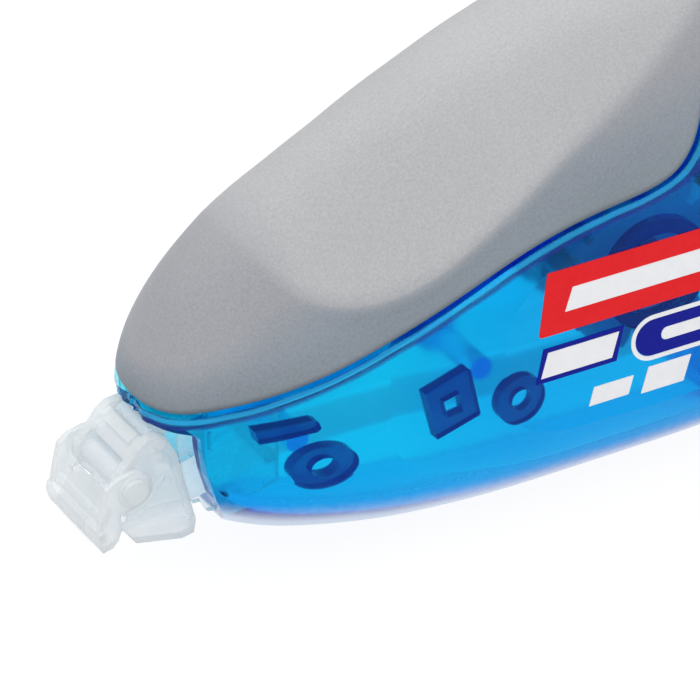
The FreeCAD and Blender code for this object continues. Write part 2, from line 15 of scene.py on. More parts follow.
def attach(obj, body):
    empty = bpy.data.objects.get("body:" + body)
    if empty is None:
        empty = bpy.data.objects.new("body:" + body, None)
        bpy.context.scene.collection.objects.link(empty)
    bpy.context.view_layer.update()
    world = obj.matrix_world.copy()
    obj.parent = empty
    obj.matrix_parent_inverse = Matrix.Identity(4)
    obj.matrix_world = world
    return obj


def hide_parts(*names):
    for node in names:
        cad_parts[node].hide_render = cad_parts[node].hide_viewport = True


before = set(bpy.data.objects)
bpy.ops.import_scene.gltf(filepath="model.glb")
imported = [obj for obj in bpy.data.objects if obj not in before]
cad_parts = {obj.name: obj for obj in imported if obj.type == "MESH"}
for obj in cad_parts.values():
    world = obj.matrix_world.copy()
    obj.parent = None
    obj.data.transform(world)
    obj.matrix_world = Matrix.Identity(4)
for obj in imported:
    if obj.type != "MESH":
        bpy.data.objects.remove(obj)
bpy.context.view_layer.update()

MM = 0.001
scene = bpy.context.scene

# ---------------------------------------------------------------- main places, mm as (x, z)
ORIGIN_X, ORIGIN_Z = 36.0, -12.4      # frame origin seen from the mouth corner
NOSE_X = -2.5                         # front end of the outer form
TAIL_X, TAIL_Z, TAIL_R = 55.8, 5.7, 17.5    # round tail of the housing
SUPPLY = (TAIL_X, TAIL_Z)             # supply reel, on the tail centre
TAKE_UP = (36.2918813, 3.8043985)     # take-up reel
GUIDE_FRONT, GUIDE_REAR = (9.25, -4.9), (24.85, -3.45)
GUIDE_R = 0.98
ROLL_R = 12.0
AXLE, PIN = (-4.55, -4.3), (-2.18, -1.48)    # cross axle and head pin
TAPE_HALF = 2.1                       # half the tape width

# Lower edge of the grip in side view (x, z): the shared run and its two front ends.
GRIP_EDGE = [
    (0.7, 1.55), (4.0, 2.15), (9.1, 3.35), (14.4, 5.35), (19.9, 7.7), (25.6, 10.05),
    (30.5, 11.25), (34.3, 11.9), (36.7, 12.8), (38.3, 14.6), (39.3, 17.2), (40.3, 20.2),
    (41.6, 23.4), (44.5, 29.0)]
EDGE_FOR_MESH = [(-8.0, 0.75), (-5.0, 0.8), (-2.6, 0.95), (-1.0, 1.15)] + GRIP_EDGE
EDGE_FOR_SHADING = [(-6.0, 0.78), (-2.6, 0.95)] + GRIP_EDGE

# Border of the dished top of the grip in side view (x, z).
CREASE = [
    (5.4, 11.6), (7.4, 9.6), (10.4, 8.45), (13.4, 8.35), (16.4, 9.1), (22.7, 12.5),
    (27.9, 16.0), (33.3, 19.2), (38.0, 22.0), (44.0, 26.5)]
CREASE_FOR_MESH = [(2.5, 15.5), (4.2, 13.2)] + CREASE
CREASE_FOR_SHADING = [(4.0, 13.4)] + CREASE
OUTLINE_TOP = 30.0                    # height covered by the two shading outlines

# Inner face of the near shell wall near the tip (x, distance from the middle plane).
WALL_INNER = [(4.2, 5.30), (7.0, 6.10), (9.4, 6.62), (12.5, 7.15), (16.0, 7.46)]


def frame_x(x):
    return (x - ORIGIN_X) * MM


def frame_z(z):
    return (z - ORIGIN_Z) * MM


def to_frame(points):
    p = np.array(points, float)
    return np.stack([frame_x(p[..., 0]), p[..., 1] * MM, frame_z(p[..., 2])], -1)


# ---------------------------------------------------------------- curves
def monotone_curve(points):
    """function through (x, value) points that never overshoots between them"""
    xs, ys = np.array(points, float).T
    step = np.diff(xs)
    slope = np.diff(ys) / step
    tangent = np.zeros(len(xs))
    for i in range(1, len(xs) - 1):
        if slope[i - 1] * slope[i] > 0:
            before, after = 2 * step[i] + step[i - 1], step[i] + 2 * step[i - 1]
            tangent[i] = (before + after) / (before / slope[i - 1] + after / slope[i])
    tangent[0], tangent[-1] = slope[0], slope[-1]

    def value(x):
        x = np.clip(np.asarray(x, float), xs[0], xs[-1])
        i = np.clip(np.searchsorted(xs, x, side="right") - 1, 0, len(xs) - 2)
        t = (x - xs[i]) / step[i]
        return ((1 + 2 * t) * (1 - t) ** 2 * ys[i] + t * (1 - t) ** 2 * step[i] * tangent[i]
                + t * t * (3 - 2 * t) * ys[i + 1] + t * t * (t - 1) * step[i] * tangent[i + 1])
    return value


def spline(points, count):
    """natural cubic spline through points, spaced by chord length"""
    p = np.array(points, float)
    at = np.r_[0, np.cumsum(np.hypot(*np.diff(p, axis=0).T))]
    step = np.diff(at)
    size = len(at)
    system, right = np.eye(size), np.zeros((size, p.shape[1]))
    for i in range(1, size - 1):
        system[i, i - 1:i + 2] = step[i - 1], 2 * (step[i - 1] + step[i]), step[i]
        right[i] = 6 * ((p[i + 1] - p[i]) / step[i] - (p[i] - p[i - 1]) / step[i - 1])
    bend = np.linalg.solve(system, right)
    where = np.linspace(0, at[-1], count)
    k = np.clip(np.searchsorted(at, where, side="right") - 1, 0, size - 2)
    a = ((at[k + 1] - where) / step[k])[:, None]
    b = ((where - at[k]) / step[k])[:, None]
    scale = (step[k] ** 2 / 6)[:, None]
    curved = ((a ** 3 - a) * bend[k] + (b ** 3 - b) * bend[k + 1]) * scale
    return a * p[k] + b * p[k + 1] + curved


def smoothstep(t):
    t = np.clip(t, 0, 1)
    return t * t * (3 - 2 * t)


def distance_to(line, x, z):
    """side-view distance from points to a polyline"""
    p = np.stack([x, z], -1).reshape(-1, 2)
    best = np.full(len(p), 1e9)
    for start, end in zip(line[:-1], line[1:]):
        run = end - start
        t = np.clip(((p - start) @ run) / (run @ run), 0, 1)
        best = np.minimum(best, np.hypot(*(p - start - t[:, None] * run).T))
    return best.reshape(np.shape(x))


def arc(centre, radius, start, end, steps):
    """points from the start angle to the end angle, in degrees"""
    angles = [math.radians(start + (end - start) * i / steps) for i in range(steps + 1)]
    return [(centre[0] + radius * math.cos(a), centre[1] + radius * math.sin(a)) for a in angles]


# ---------------------------------------------------------------- outer form
def tail_half(offset):
    """half height of the round tail, offset behind its centre"""
    return math.sqrt(TAIL_R ** 2 - offset ** 2)


# Side view (x, z), top and bottom.
CROWN = monotone_curve(
    [(-2.5, 2.0), (-2.3, 3.0), (-1.6, 4.6), (0, 7.2), (3, 10.5), (7.5, 14.0), (13, 17.5),
     (20, 20.9), (27, 23.3), (34, 24.85), (42, 25.3), (49, 24.75), (55, 23.8)]
    + [(TAIL_X + dx, TAIL_Z + tail_half(dx)) for dx in (4.2, 6)])
BELLY = monotone_curve(
    [(-2.5, -0.5), (-2.3, -2.6), (-1.5, -5.6), (2, -8.9), (8, -11.0), (16, -12.2),
     (24, -12.55), (38, -12.55), (46, -12.35), (52, -12.0)]
    + [(TAIL_X + dx, TAIL_Z - tail_half(dx)) for dx in (0, 4.2, 6)])
# Half width (x, y).
WIDTH = monotone_curve([
    (-2.5, 0.0), (-2.42, 1.3), (-2.1, 2.7), (-1.4, 4.1), (0, 5.45), (2, 6.5), (5, 7.4),
    (10, 8.4), (18, 9.5), (28, 10.1), (38, 10.2), (52, 10.2), (TAIL_X, 10.1)])
# Superellipse power of the section above and below its widest height (x, power).
UPPER_POWER = monotone_curve([(-3, 2.25), (20, 2.25), (35, 2.5), (55, 3.1), (80, 3.1)])
LOWER_POWER = monotone_curve([(-3, 4.0), (20, 4.2), (40, 4.0), (55, 3.3), (80, 3.3)])
WIDEST_SHARE = 0.42                   # widest height as a share of the section height


def outer_form(station, angle, grow):
    """points (mm) on the outer form grown outwards, for stations ahead of the tail"""
    station, angle, grow = np.broadcast_arrays(
        *(np.asarray(v, float) for v in (station, angle, grow)))
    front = NOSE_X - grow
    x = front + (station - NOSE_X) / (TAIL_X - NOSE_X) * (TAIL_X - front)
    # growth is held back over the first mm of the nose and where the section is narrow
    rise = grow * np.minimum(1.0, 0.35 + (x - front) / 3.0)
    top, bottom, half = CROWN(station) + rise, BELLY(station) - rise, WIDTH(station)
    half = half + grow * np.minimum(1.0, half / 4.0)
    middle = bottom + WIDEST_SHARE * (top - bottom)
    c, s = np.maximum(0.0, np.cos(angle)), np.sin(angle)
    power = np.where(s >= 0, UPPER_POWER(x), LOWER_POWER(x))
    radius = (np.abs(c) ** power + np.abs(s) ** power) ** (-1 / power)
    z = middle + np.where(s >= 0, top - middle, middle - bottom) * s * radius
    return np.stack([x, half * c * radius, z], -1)


# ---------------------------------------------------------------- mesh helpers
def shade_smooth(mesh):
    for face in mesh.polygons:
        face.use_smooth = True


def mesh_object(name, verts, faces):
    mesh = bpy.data.meshes.new(name)
    mesh.from_pydata([tuple(map(float, v)) for v in verts], [],
                     [tuple(map(int, f)) for f in faces])
    mesh.validate()
    mesh.update()
    ob = bpy.data.objects.new(name, mesh)
    scene.collection.objects.link(ob)
    shade_smooth(mesh)
    return ob


def tidy_mesh(ob, merge=None):
    """merge close points (distance in m) if asked, and turn all faces outwards"""
    bm = bmesh.new()
    bm.from_mesh(ob.data)
    if merge is not None:
        bmesh.ops.remove_doubles(bm, verts=bm.verts, dist=merge)
        bmesh.ops.dissolve_degenerate(bm, edges=bm.edges, dist=1e-7)
    bmesh.ops.recalc_face_normals(bm, faces=bm.faces)
    bm.to_mesh(ob.data)
    bm.free()
    ob.data.update()
    shade_smooth(ob.data)


def stand_in(ob, piece, body):
    """give a modelled mesh its material and let it replace the CAD piece"""
    ob.data.materials.append(MATERIALS[PAINT[piece]])
    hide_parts(piece)
    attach(ob, body)


# ---------------------------------------------------------------- node helpers
class Graph:
    """node tree of a material or the world, built by short calls"""

    def __init__(self, owner, output):
        owner.use_nodes = True
        self.owner, self.tree = owner, owner.node_tree
        self.tree.nodes.clear()
        self.output = self.node(output)

    def feed(self, socket, value):
        """link a socket, or set a plain value"""
        if isinstance(value, bpy.types.NodeSocket):
            self.tree.links.new(value, socket)
        else:
            socket.default_value = value

    def node(self, kind, **inputs):
        """new node; an underscore in an input name stands for a space"""
        new = self.tree.nodes.new("ShaderNode" + kind)
        for name, value in inputs.items():
            self.feed(new.inputs[name.replace("_", " ")], value)
        return new

    def shader(self, kind, **inputs):
        return self.node(kind, **inputs).outputs[0]

    def mix(self, factor, first, second):
        new = self.node("MixShader", Fac=factor)
        self.feed(new.inputs[1], first)
        self.feed(new.inputs[2], second)
        return new.outputs[0]

    def mix_color(self, factor, first, second, blend="MIX"):
        new = self.tree.nodes.new("ShaderNodeMix")
        new.data_type, new.blend_type = "RGBA", blend
        for socket, value in (("Factor", factor), (6, first), (7, second)):
            self.feed(new.inputs[socket], value)
        return new.outputs[2]

    def math(self, operation, *values):
        new = self.node("Math")
        new.operation = operation
        for i, value in enumerate(values):
            self.feed(new.inputs[i], value)
        return new.outputs[0]

    def add(self, a, b):
        return self.math("ADD", a, b)

    def sub(self, a, b):
        return self.math("SUBTRACT", a, b)

    def mul(self, a, b):
        return self.math("MULTIPLY", a, b)

    def axes(self, vector):
        return tuple(self.node("SeparateXYZ", Vector=vector).outputs)

    def rays(self, first, *others):
        """1 on the named kinds of ray"""
        path = self.node("LightPath")
        result = path.outputs[f"Is {first} Ray"]
        for kind in others:
            result = self.math("MAXIMUM", result, path.outputs[f"Is {kind} Ray"])
        return result

    def noise(self, scale, detail, roughness):
        return self.node("TexNoise", Vector=self.place, Scale=scale, Detail=detail,
                         Roughness=roughness).outputs["Fac"]

    def map_range(self, value, source, target=(0.0, 1.0), smooth=False):
        new = self.node("MapRange", Value=value, From_Min=source[0], From_Max=source[1],
                        To_Min=target[0], To_Max=target[1])
        if smooth:
            new.interpolation_type = "SMOOTHSTEP"
        return new.outputs["Result"]

    def vary(self, noise, low, high):
        """low to high over the usual spread of a noise"""
        return self.map_range(noise, (0.3, 0.7), (low, high))

    def ramp(self, factor, stops):
        new = self.node("ValToRGB", Fac=factor)
        elements = new.color_ramp.elements
        while len(elements) > 1:
            elements.remove(elements[-1])
        elements[0].position, elements[0].color = stops[0][0], (*stops[0][1], 1)
        for position, color in stops[1:]:
            elements.new(position).color = (*color, 1)
        return new.outputs["Color"]

    def two_tone(self, factor, first, second, ends=(0.3, 0.7)):
        return self.ramp(factor, [(ends[0], first), (ends[1], second)])

    def bump(self, height, strength, distance, **normal):
        """distance in metres; a Normal given by name is bumped further"""
        return self.node("Bump", Height=height, Strength=strength, Distance=distance,
                         **normal).outputs["Normal"]

    def outline(self, x, points, top, straight=False):
        """height (m) of an outline of (x, height) points in mm, read at frame x"""
        left, right = points[0][0], points[-1][0]
        spots = [((px - left) / (right - left), height / top) for px, height in points]
        new = self.node("FloatCurve")
        curve = new.mapping.curves[0]
        curve.points[0].location = spots[0]
        for spot in spots[1:-1]:
            curve.points.new(*spot)
        curve.points[-1].location = spots[-1]
        if straight:
            for point in curve.points:
                point.handle_type = "VECTOR"
        new.mapping.update()
        self.feed(new.inputs["Value"], self.map_range(x, (frame_x(left), frame_x(right))))
        return self.mul(new.outputs[0], top * MM)

    def edge_distance(self, x, z):
        """signed side-view distance (m) from the grip edge, positive above it"""
        reach = 0.35    # mm to each side for the slope

        def edge(shift):
            return self.outline(self.add(x, shift * MM), EDGE_FOR_SHADING, OUTLINE_TOP)
        slope = self.mul(self.sub(edge(reach), edge(-reach)), 1 / (2 * reach * MM))
        steep = self.math("SQRT", self.add(self.mul(slope, slope), 1.0))
        height = self.sub(self.sub(z, frame_z(0)), edge(0.0))
        return self.math("DIVIDE", height, steep)

    def window(self, distance, low, high, soft):
        """1 between low and high (mm), fading over soft to each side"""
        enter = self.map_range(distance, ((low - soft) * MM, (low + soft) * MM))
        leave = self.map_range(distance, ((high - soft) * MM, (high + soft) * MM), (1.0, 0.0))
        return self.mul(enter, leave)

    def surface(self, shader):
        """set the surface and hand back the material or world"""
        self.feed(self.output.inputs["Surface"], shader)
        return self.owner


def new_material(name, shift=(0, 0, 0)):
    """material graph whose textures use object coordinates moved by shift"""
    mat = Graph(bpy.data.materials.new(name), "OutputMaterial")
    position = mat.node("TexCoord").outputs["Object"]
    mat.place = mat.node("Mapping", Vector=position, Location=shift).outputs["Vector"]
    return mat


def srgb(*levels):
    """linear colour from 0-255 display levels"""
    shares = [level / 255 for level in levels]
    return tuple(c / 12.92 if c <= 0.04045 else ((c + 0.055) / 1.055) ** 2.4 for c in shares)


def dimmed(tint):
    return tuple(c * 0.985 for c in tint)


# ---------------------------------------------------------------- materials
# Painted light and shade on the grip, by upward facing (position, colour).
FLANK_PAINTED_SHADE = [
    (0.02, (0.48, 0.54, 0.60)), (0.25, (0.585, 0.665, 0.745)), (0.36, (0.625, 0.70, 0.78)),
    (0.50, (0.72, 0.74, 0.785)), (0.68, (0.69, 0.70, 0.735)), (1.0, (0.72, 0.725, 0.745))]
DISH_PAINTED_LIGHT = [
    (0.45, (1.08, 1.085, 1.09)), (0.58, (0.98, 0.99, 0.995)), (0.64, (0.94, 0.95, 0.955)),
    (0.79, (0.87, 0.88, 0.885)), (1.0, (0.86, 0.865, 0.87))]


def grip_painted_light_and_shade(mat, cloud):
    """painted light and shade: flanks and nose darker and cooler, the dished top lighter, as if
    lit from above
    """
    normal = mat.node("NewGeometry").outputs["Normal"]
    upward = mat.add(mat.map_range(mat.axes(normal)[2], (-0.2, 1.0)),
                     mat.vary(cloud, -0.02, 0.02))
    flank, dish = mat.ramp(upward, FLANK_PAINTED_SHADE), mat.ramp(upward, DISH_PAINTED_LIGHT)
    x, _, z = mat.axes(mat.place)
    crease = mat.outline(x, CREASE_FOR_SHADING, OUTLINE_TOP)
    over = mat.sub(z, mat.add(crease, frame_z(0)))
    inside = mat.map_range(over, (-0.9 * MM, 1.3 * MM), smooth=True)
    behind_nose = mat.map_range(x, (frame_x(4.6), frame_x(8.0)), (0.25, 1.0))
    tint = mat.mix_color(mat.mul(inside, behind_nose), flank, dish)
    # painted shade: darker along the lower edge, most of all at the front
    painted_edge_shade = mat.map_range(x, (frame_x(0.0), frame_x(11.0)), (0.80, 0.99))
    off_edge = mat.map_range(mat.edge_distance(x, z), (0.2 * MM, 3.6 * MM))
    shade = mat.add(painted_edge_shade, mat.mul(off_edge, mat.sub(1.0, painted_edge_shade)))
    scaled = mat.node("VectorMath")
    scaled.operation = "SCALE"
    mat.feed(scaled.inputs[0], tint)
    mat.feed(scaled.inputs["Scale"], shade)
    return scaled.outputs[0]


def grip_material():
    mat = new_material("soft_grip_rubber")
    cloud = mat.noise(scale=60, detail=3, roughness=0.5)
    grain = mat.noise(scale=5200, detail=2, roughness=0.6)
    speck = mat.noise(scale=7800, detail=1, roughness=0.5)
    rubber = mat.ramp(
        mat.add(mat.mul(cloud, 0.35), mat.mul(grain, 0.65)),
        [(0.28, srgb(178, 178, 180)), (0.5, srgb(191, 191, 193)), (0.72, srgb(203, 203, 205))])
    # rubber colour multiplied by the painted light and shade
    color = mat.mix_color(1.0, rubber, grip_painted_light_and_shade(mat, cloud), blend="MULTIPLY")
    rough = mat.add(mat.vary(cloud, 0.54, 0.62),
                    mat.map_range(speck, (0.60, 0.72), (0.0, -0.14)))
    texture = mat.bump(mat.noise(scale=3600, detail=3, roughness=0.65),
                       strength=0.16, distance=0.00005)
    normal = mat.bump(mat.noise(scale=220, detail=2, roughness=0.5),
                      strength=0.06, distance=0.0001, Normal=texture)
    return mat.surface(mat.shader(
        "BsdfPrincipled", Base_Color=color, Roughness=rough, Normal=normal,
        Specular_IOR_Level=0.35, Sheen_Weight=0.06, Sheen_Roughness=0.45))


def thick_spots(mat):
    """1 on the inner face of the near shell where bosses, rings and ribs stand"""
    x, y, z = mat.axes(mat.place)
    wall = mat.outline(x, WALL_INNER, top=10.0, straight=True)
    inner = mat.math("LESS_THAN", mat.mul(y, -1.0), wall)
    off_middle = mat.math("GREATER_THAN", mat.mul(y, -1.0), 4.0 * MM)

    def oval(centre, half_x, half_z):
        u = mat.mul(mat.sub(x, frame_x(centre[0])), 1 / (half_x * MM))
        w = mat.mul(mat.sub(z, frame_z(centre[1])), 1 / (half_z * MM))
        return mat.math("LESS_THAN", mat.add(mat.mul(u, u), mat.mul(w, w)), 1.0)

    def between(value, low, high):
        return mat.mul(mat.math("GREATER_THAN", value, low), mat.math("LESS_THAN", value, high))

    def block(left, right, bottom, top):
        return mat.mul(between(x, frame_x(left), frame_x(right)),
                       between(z, frame_z(bottom), frame_z(top)))

    boss_r = 4.62    # reel bosses
    mask = oval(GUIDE_FRONT, half_x=2.62, half_z=1.84)
    for spot in (block(left=4.1, right=9.1, bottom=-2.25, top=-0.65),
                 oval(GUIDE_REAR, half_x=2.08, half_z=2.08),
                 block(left=16.6, right=21.6, bottom=-5.0, top=0.75),
                 oval(TAKE_UP, boss_r, boss_r), oval(SUPPLY, boss_r, boss_r)):
        mask = mat.math("MAXIMUM", mask, spot)
    return mat.mul(mat.mul(inner, off_middle), mask)


def shell_material(name, near, density):
    """clear tinted plastic; a shadow or diffuse ray only picks up the tint"""
    mat = new_material(name)
    side = 1 if near else -1    # sign of a normal that points at the middle plane
    cloud = mat.noise(scale=45, detail=2, roughness=0.5)
    # the outside is polished, the face towards the middle plane blurs
    facing = mat.axes(mat.node("NewGeometry").outputs["Normal"])[1]
    inward = mat.map_range(facing, (side * 0.05, side * 0.30))
    rough = mat.add(mat.map_range(cloud, (0.35, 0.65), (0.12, 0.16)), mat.mul(inward, 0.24))
    waves = mat.bump(mat.noise(scale=130, detail=2, roughness=0.4),
                     strength=0.05, distance=0.0002)
    normal = mat.bump(mat.noise(scale=2600, detail=2, roughness=0.5),
                      strength=0.03, distance=0.00003, Normal=waves)
    tint = mat.two_tone(cloud, (0.57, 0.925, 0.965), (0.61, 0.94, 0.975), ends=(0.35, 0.65))
    shade = mat.shader(
        "BsdfPrincipled", IOR=1.36, Transmission_Weight=1.0, Specular_IOR_Level=0.14,
        Specular_Tint=(0.10, 0.62, 1.0, 1.0), Base_Color=tint, Roughness=rough, Normal=normal)
    if near:
        # bosses and ribs hold more plastic, so they read deep blue
        thick = mat.shader(
            "BsdfPrincipled", Roughness=rough, Normal=normal,
            Base_Color=mat.two_tone(cloud, (0.001, 0.070, 0.42), (0.002, 0.082, 0.46)))
        shade = mat.mix(mat.mul(thick_spots(mat), 0.84), shade, thick)

    # trim bead along the grip, painted on: a glowing painted highlight line, and a painted shade
    # line where it meets the wall
    geometry = mat.node("NewGeometry")
    _, normal_y, normal_z = mat.axes(geometry.outputs["Normal"])
    x, _, z = mat.axes(mat.place)
    front_face = mat.sub(1.0, geometry.outputs["Backfacing"])
    outer = mat.mul(mat.map_range(normal_y, (side * 0.25, side * 0.05)), front_face)
    wobble = mat.vary(mat.noise(scale=260, detail=2, roughness=0.5), -0.06, 0.06)
    distance = mat.add(mat.edge_distance(x, z), mat.mul(wobble, MM))
    painted_highlight_line = mat.shader(
        "BsdfPrincipled", Roughness=0.18,
        Base_Color=mat.two_tone(cloud, (0.003, 0.40, 0.80), (0.005, 0.47, 0.86)),
        Emission_Color=(0.0, 0.40, 0.85, 1), Emission_Strength=0.22)
    painted_shade_line = mat.shader(
        "BsdfPrincipled", Roughness=0.25, Specular_IOR_Level=0.2,
        Base_Color=mat.two_tone(cloud, (0.008, 0.035, 0.34), (0.020, 0.040, 0.38)))
    # line, its band below the grip edge (mm), fade (mm), strength
    for line, low, high, soft, amount in ((painted_shade_line, -1.22, -0.66, 0.14, 0.72),
                                          (painted_highlight_line, -0.60, -0.14, 0.08, 0.55)):
        band = mat.mul(mat.window(distance, low, high, soft), outer)
        shade = mat.mix(mat.mul(band, amount), shade, line)

    # painted reflection: a glossy layer mixed in only on the rounded underside, where it really
    # mirrors the pale floor
    start = mat.map_range(x, (frame_x(5), frame_x(34)), (0.20, 0.36))
    downward = mat.sub(mat.mul(normal_z, -1.0), start)
    painted_reflection_mask = mat.map_range(downward, (0.0, 0.42), smooth=True)
    gloss = mat.shader("BsdfGlossy", Color=(0.70, 0.78, 0.88, 1), Roughness=0.22, Normal=normal)
    shade = mat.mix(mat.mul(mat.mul(painted_reflection_mask, 0.85), front_face), shade, gloss)

    passing = mat.shader("BsdfTransparent", Color=(0.45, 0.93, 0.99, 1))
    absorption = mat.shader("VolumeAbsorption", Color=(0.0, 0.905, 0.988, 1), Density=density)
    mat.feed(mat.output.inputs["Volume"], absorption)
    return mat.surface(mat.mix(mat.rays("Shadow", "Diffuse"), shade, passing))


def film_material(name):
    """thin clear carrier film"""
    mat = new_material(name)
    cloud = mat.noise(scale=500, detail=3, roughness=0.5)
    clear = mat.shader("BsdfTransparent", Color=(0.99, 0.992, 0.995, 1))
    sheen = mat.shader(
        "BsdfPrincipled", Roughness=mat.vary(cloud, 0.10, 0.2),
        Base_Color=mat.two_tone(cloud, (0.86, 0.88, 0.90), (0.90, 0.92, 0.93)))
    return mat.surface(mat.mix(mat.vary(cloud, 0.03, 0.055), clear, sheen))


def ink_material(name, dark, light, glow=0.0):
    mat = new_material(name)
    cloud = mat.noise(scale=900, detail=3, roughness=0.6)
    grain = mat.noise(scale=6000, detail=2, roughness=0.6)
    color = mat.two_tone(mat.add(mat.mul(cloud, 0.5), mat.mul(grain, 0.5)), dark, light,
                         ends=(0.35, 0.65))
    # glow adds emission in the ink's own colour: painted light
    return mat.surface(mat.shader(
        "BsdfPrincipled", Base_Color=color, Roughness=mat.vary(grain, 0.36, 0.46),
        Normal=mat.bump(grain, strength=0.05, distance=0.00002),
        Specular_IOR_Level=0.12, Emission_Color=color, Emission_Strength=glow))


def frosted_noises(mat):
    return (mat.noise(scale=420, detail=3, roughness=0.55),
            mat.noise(scale=5200, detail=2, roughness=0.6))


def disc_material(name):
    """clear plastic with a little milk in it"""
    mat = new_material(name)
    cloud, grain = frosted_noises(mat)
    tint, milk = (0.95, 0.97, 0.98), 0.12
    relief = mat.bump(cloud, strength=0.08, distance=0.0001)
    shared = dict(
        Base_Color=mat.two_tone(cloud, dimmed(tint), tint),
        Roughness=mat.add(mat.vary(cloud, 0.08, 0.16), mat.vary(grain, -0.03, 0.03)),
        Normal=mat.bump(grain, strength=0.15, distance=0.00003, Normal=relief))
    clear = mat.shader("BsdfPrincipled", IOR=1.45, Transmission_Weight=1.0, **shared)
    milky = mat.shader("BsdfPrincipled", Subsurface_Weight=0.6, Subsurface_Scale=0.0009,
                       Subsurface_Radius=(1.0, 1.0, 1.0), **shared)
    return mat.surface(mat.mix(mat.vary(cloud, milk * 0.85, milk * 1.15), clear, milky))


def milky_material(name, clear, glow, edge=0.5, tint=(0.95, 0.975, 0.985)):
    """frosted plastic: part scatters, part lets light straight through (clear, less so
    at grazing angles by the share edge)"""
    mat = new_material(name)
    cloud, grain = frosted_noises(mat)
    relief = mat.bump(cloud, strength=0.10, distance=0.00012)
    normal = mat.bump(grain, strength=0.10, distance=0.00003, Normal=relief)
    color = mat.two_tone(cloud, dimmed(tint), tint)
    scatter = mat.mix(0.45, mat.shader("BsdfDiffuse", Color=color, Normal=normal),
                      mat.shader("BsdfTranslucent", Color=color, Normal=normal))
    through = mat.shader("BsdfTransparent", Color=mat.two_tone(
        cloud, (0.955, 0.97, 0.985), (0.965, 0.98, 0.99)))
    grazing = mat.node("LayerWeight", Blend=0.35, Normal=normal).outputs["Facing"]
    clear_share = mat.sub(mat.vary(cloud, clear * 0.9, clear * 1.1),
                          mat.mul(grazing, clear * edge))
    body = mat.mix(clear_share, scatter, through)
    gloss = mat.shader("BsdfGlossy", Roughness=mat.vary(grain, 0.28, 0.38), Normal=normal)
    fresnel = mat.node("Fresnel", IOR=1.35, Normal=normal).outputs[0]
    coated = mat.mix(mat.mul(fresnel, 0.8), body, gloss)
    # painted glow: emission standing in for light gathered inside the thin frosted walls
    painted_glow = mat.shader("Emission", Color=color, Strength=glow)
    total = mat.node("AddShader")
    mat.feed(total.inputs[0], coated)
    mat.feed(total.inputs[1], painted_glow)
    return mat.surface(total.outputs[0])


def plain_material(name, dark, light, rough, **extra):
    """opaque plastic or paper; rough is the span of the roughness"""
    mat = new_material(name)
    cloud = mat.noise(scale=350, detail=3, roughness=0.55)
    grain = mat.noise(scale=350 * 14, detail=2, roughness=0.6)
    return mat.surface(mat.shader(
        "BsdfPrincipled", Base_Color=mat.two_tone(cloud, dark, light),
        Roughness=mat.vary(grain, *rough),
        Normal=mat.bump(grain, strength=0.1, distance=0.00003), **extra))


def roll_material(name):
    """wound tape: fine rings round the supply centre"""
    mat = new_material(name, shift=(-frame_x(SUPPLY[0]), 0, -frame_z(SUPPLY[1])))
    ring_pitch = 0.00018    # m
    x, _, z = mat.axes(mat.place)
    radius = mat.math("SQRT", mat.add(mat.mul(x, x), mat.mul(z, z)))
    wave = mat.math("SINE", mat.mul(radius, 2 * math.pi / ring_pitch))
    cloud = mat.noise(scale=700, detail=3, roughness=0.6)
    factor = mat.add(mat.mul(mat.map_range(wave, (-1, 1)), 0.6), mat.mul(cloud, 0.4))
    color = mat.two_tone(factor, srgb(214, 214, 212), srgb(246, 246, 243), ends=(0.2, 0.8))
    rings = mat.bump(mat.map_range(wave, (-1, 1)), strength=0.25, distance=0.00003)
    return mat.surface(mat.shader("BsdfPrincipled", Base_Color=color, Roughness=0.7,
                                  Normal=rings))


MATERIALS = dict(
    grip=grip_material(),
    shell=shell_material("clear_blue_near", near=True, density=2200.0),
    shell_far=shell_material("clear_blue_far", near=False, density=1000.0),
    # the red and white inks carry a painted glow (emission) that brightens them
    red=ink_material("ink_red", srgb(240, 34, 40), srgb(246, 42, 47), glow=0.10),
    blue=ink_material("ink_blue", srgb(14, 26, 156), srgb(20, 32, 164)),
    white=ink_material("ink_white", srgb(238, 240, 243), srgb(250, 250, 252), glow=0.18),
    gear=plain_material("gear_acetal", srgb(222, 226, 230), srgb(238, 240, 242),
                        rough=(0.30, 0.45)),
    hub=plain_material("hub_moulded", srgb(226, 230, 234), srgb(240, 242, 244),
                       rough=(0.28, 0.42)),
    spring=plain_material("clutch_spring_plastic", srgb(200, 203, 208), srgb(216, 218, 222),
                          rough=(0.35, 0.5)),
    # the tape glows: painted light that brightens it inside the shells
    tape=plain_material("tape_white", srgb(236, 236, 233), srgb(248, 248, 246),
                        rough=(0.6, 0.75), Emission_Color=(0.85, 0.96, 1, 1),
                        Emission_Strength=0.33),
    # the glow of the frosted pieces is painted light (emission)
    head=milky_material("head_frosted", clear=0.46, glow=0.045, edge=0.55),
    axle=milky_material("axle_frosted", clear=0.34, glow=0.06),
    holder=milky_material("holder_clear", clear=0.84, glow=0.05, edge=0.30,
                          tint=(0.90, 0.95, 0.99)),
    disc=disc_material("reel_disc_clear"),
    film=film_material("carrier_film_clear"),
    roll=roll_material("tape_roll_white"),
)

# CAD piece: material
PAINT = dict(
    near_housing_shell="shell", far_housing_shell="shell_far",
    near_red_print="red", far_red_print="red",
    near_blue_print="blue", far_blue_print="blue",
    near_white_print="white", far_white_print="white",
    supply_gear="gear", take_up_gear="gear", supply_reel_hub="hub", take_up_reel="hub",
    supply_reel_disc="disc", supply_tape_roll="roll", take_up_film="film",
    clutch_spring="spring", head_pin="axle", cross_axle="axle",
    tape_feed_run="tape", tape_tip_loop="film", film_return_run="film",
    tip_holder="holder", head_bracket="head", applicator_blade="head", soft_grip="grip")
for piece, material in PAINT.items():
    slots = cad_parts[piece].data.materials
    slots.clear()
    slots.append(MATERIALS[material])

# ---------------------------------------------------------------- soft grip
EDGE_LINE = spline(EDGE_FOR_MESH, 700)
CREASE_LINE = spline(CREASE_FOR_MESH, 90)
